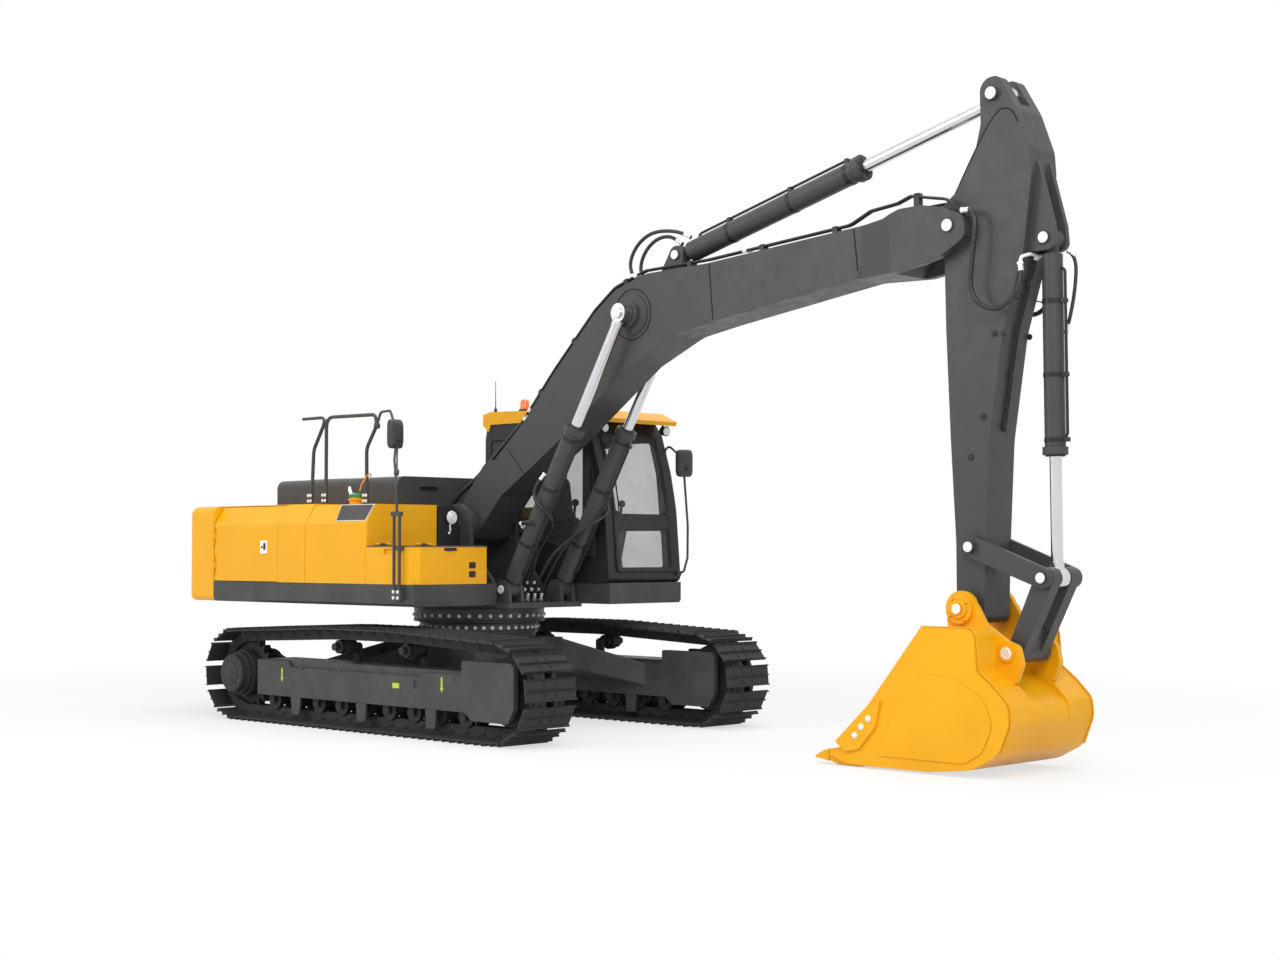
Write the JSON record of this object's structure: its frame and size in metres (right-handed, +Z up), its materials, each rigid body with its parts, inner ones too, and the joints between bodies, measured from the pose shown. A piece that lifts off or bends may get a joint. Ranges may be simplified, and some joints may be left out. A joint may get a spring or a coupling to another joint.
{
  "type": "crawler excavator",
  "caption": "Thirty-tonne class crawler excavator, yellow and grey, parked with its boom raised, arm hanging and bucket flat on the ground.",
  "frame": {"origin": "on the ground, on the axis that the upper structure swings about", "axes": "+X forward along the boom, +Y to the left (cab side), +Z up"},
  "size_m": [10.0726, 3.19, 5.399],
  "materials": {
    "paint_yellow": "satin",
    "paint_grey": "satin",
    "paint_dark": "matte",
    "track_steel": "matte",
    "chrome": "polished",
    "steel": "satin",
    "glass": "polished",
    "black_plastic": "matte",
    "seat_fabric": "matte",
    "green_plastic": "glossy",
    "hose_rubber": "matte",
    "amber": "glossy",
    "lamp_lens": "polished"
  },
  "bodies": {
    "undercarriage": {"carbody": "paint_grey", "track_frame_right": "paint_grey", "track_frame_left": "paint_grey", "track_right": "track_steel", "track_left": "track_steel", "final_drive_right": "paint_grey", "final_drive_left": "paint_grey", "idler_right": "track_steel", "idler_left": "track_steel", "rollers_right": "track_steel", "rollers_left": "track_steel", "slew_ring_lower": "paint_dark"},
    "upper": {"slew_ring_upper": "paint_dark", "main_frame": "paint_grey", "deck_right": "paint_grey", "deck_left": "paint_grey", "counterweight": "paint_yellow", "engine_block": "paint_dark", "pump_housing": "paint_yellow", "cooler_housing": "paint_yellow", "fuel_tank": "paint_yellow", "fuel_cap": "green_plastic", "toolbox": "paint_yellow", "deck_cover": "paint_dark", "cab_frame": "paint_grey", "cab_glass": "glass", "cab_roof": "paint_yellow", "seat_base": "black_plastic", "seat": "seat_fabric", "consoles": "black_plastic"},
    "cab_door": {"cab_door": "paint_grey", "cab_door_glass": "glass"},
    "pump_door": {"pump_door": "paint_yellow"},
    "cooler_door": {"cooler_door": "paint_yellow"},
    "toolbox_lid": {"toolbox_lid": "paint_dark"},
    "hood": {"hood": "paint_grey"},
    "boom": {"boom": "paint_grey"},
    "boom_cylinder_right": {"boom_cylinder_right": "paint_grey"},
    "boom_cylinder_left": {"boom_cylinder_left": "paint_grey"},
    "boom_rod_right": {"boom_rod_right": "chrome"},
    "boom_rod_left": {"boom_rod_left": "chrome"},
    "arm": {"arm": "paint_grey"},
    "arm_cylinder": {"arm_cylinder": "paint_grey"},
    "arm_rod": {"arm_rod": "chrome"},
    "bucket_cylinder": {"bucket_cylinder": "paint_grey"},
    "bucket_rod": {"bucket_rod": "chrome"},
    "rocker": {"rocker": "paint_grey"},
    "bucket_link": {"bucket_link": "paint_grey"},
    "bucket": {"bucket": "paint_yellow", "bucket_teeth": "paint_yellow"}
  },
  "joints": [
    {"name": "swing", "type": "hinge", "parent": "undercarriage", "child": "upper", "pos_m": [0, 0, 0.95], "axis": [0, 0, 1], "continuous": true},
    {"name": "boom_lower", "type": "hinge", "parent": "upper", "child": "boom", "pos_m": [0.03, 0, 1.98], "axis": [0, 1, 0], "range_deg": [-32, 66]},
    {"name": "arm_out", "type": "hinge", "parent": "boom", "child": "arm", "pos_m": [5.898, 0, 4.262], "axis": [0, -1, 0], "range_deg": [-50, 65]},
    {"name": "bucket_curl", "type": "hinge", "parent": "arm", "child": "bucket", "pos_m": [6, 0, 1.26], "axis": [0, 1, 0], "range_deg": [-45, 85]},
    {"name": "boom_cylinder_right_tilt", "type": "hinge", "parent": "upper", "child": "boom_cylinder_right", "pos_m": [0.83, -0.34, 1.337], "axis": [0, 1, 0], "range_deg": [-34.38, 70.38]},
    {"name": "boom_rod_right_slide", "type": "slide", "parent": "boom_cylinder_right", "child": "boom_rod_right", "axis": [0.5145, 0, 0.8575], "range_m": [-1.0019, 0.4878]},
    {"name": "boom_cylinder_left_tilt", "type": "hinge", "parent": "upper", "child": "boom_cylinder_left", "pos_m": [0.83, 0.34, 1.337], "axis": [0, 1, 0], "range_deg": [-34.38, 70.38]},
    {"name": "boom_rod_left_slide", "type": "slide", "parent": "boom_cylinder_left", "child": "boom_rod_left", "axis": [0.5145, 0, 0.8575], "range_m": [-1.0019, 0.4878]},
    {"name": "arm_cylinder_tilt", "type": "hinge", "parent": "boom", "child": "arm_cylinder", "pos_m": [2.8, 0, 4.38], "axis": [0, 1, 0], "range_deg": [-9.25, 7.23]},
    {"name": "arm_rod_slide", "type": "slide", "parent": "arm_cylinder", "child": "arm_rod", "axis": [0.9689, 0, 0.2473], "range_m": [-1.0012, 0.7711]},
    {"name": "rocker_tilt", "type": "hinge", "parent": "arm", "child": "rocker", "pos_m": [6.06, 0, 1.74], "axis": [0, 1, 0], "range_deg": [-28.63, 53.63]},
    {"name": "bucket_link_tilt", "type": "hinge", "parent": "rocker", "child": "bucket_link", "pos_m": [6.69, 0, 1.505], "axis": [0, 1, 0], "range_deg": [-31.1, 16.7]},
    {"name": "bucket_cylinder_tilt", "type": "hinge", "parent": "arm", "child": "bucket_cylinder", "pos_m": [6.664, 0, 4.1], "axis": [0, 1, 0], "range_deg": [-4.04, 7.18]},
    {"name": "bucket_rod_slide", "type": "slide", "parent": "bucket_cylinder", "child": "bucket_rod", "axis": [0.01, 0, -0.9999], "range_m": [-0.2726, 0.5114]},
    {"name": "cab_door_open", "type": "hinge", "parent": "upper", "child": "cab_door", "pos_m": [0.063, 1.503, 2.16], "axis": [0, 0, 1], "range_deg": [0, 80]},
    {"name": "pump_door_open", "type": "hinge", "parent": "upper", "child": "pump_door", "pos_m": [-2.462, -1.503, 1.71], "axis": [0, 0, -1], "range_deg": [0, 100]},
    {"name": "cooler_door_open", "type": "hinge", "parent": "upper", "child": "cooler_door", "pos_m": [-2.462, 1.503, 1.71], "axis": [0, 0, 1], "range_deg": [0, 100]},
    {"name": "toolbox_lid_open", "type": "hinge", "parent": "upper", "child": "toolbox_lid", "pos_m": [0.094, -1.05, 1.77], "axis": [0, -1, 0], "range_deg": [0, 75]},
    {"name": "hood_open", "type": "hinge", "parent": "upper", "child": "hood", "pos_m": [-2.423, -0.1, 2.1823], "axis": [0, -1, 0], "range_deg": [0, 50]}
  ],
  "couplings": [
    {"joint": "boom_cylinder_right_tilt", "follows": "boom_lower", "ratio": 1.0588},
    {"joint": "boom_rod_right_slide", "follows": "boom_lower", "m_per_rad": -0.8663},
    {"joint": "boom_cylinder_left_tilt", "follows": "boom_lower", "ratio": 1.0588},
    {"joint": "boom_rod_left_slide", "follows": "boom_lower", "m_per_rad": -0.8663},
    {"joint": "arm_cylinder_tilt", "follows": "arm_out", "ratio": -0.1346},
    {"joint": "arm_rod_slide", "follows": "arm_out", "m_per_rad": -0.879},
    {"joint": "rocker_tilt", "follows": "bucket_curl", "ratio": 0.6251},
    {"joint": "bucket_link_tilt", "follows": "bucket_curl", "ratio": -0.36},
    {"joint": "bucket_cylinder_tilt", "follows": "bucket_curl", "ratio": 0.0786},
    {"joint": "bucket_rod_slide", "follows": "bucket_curl", "m_per_rad": 0.342}
  ]
}
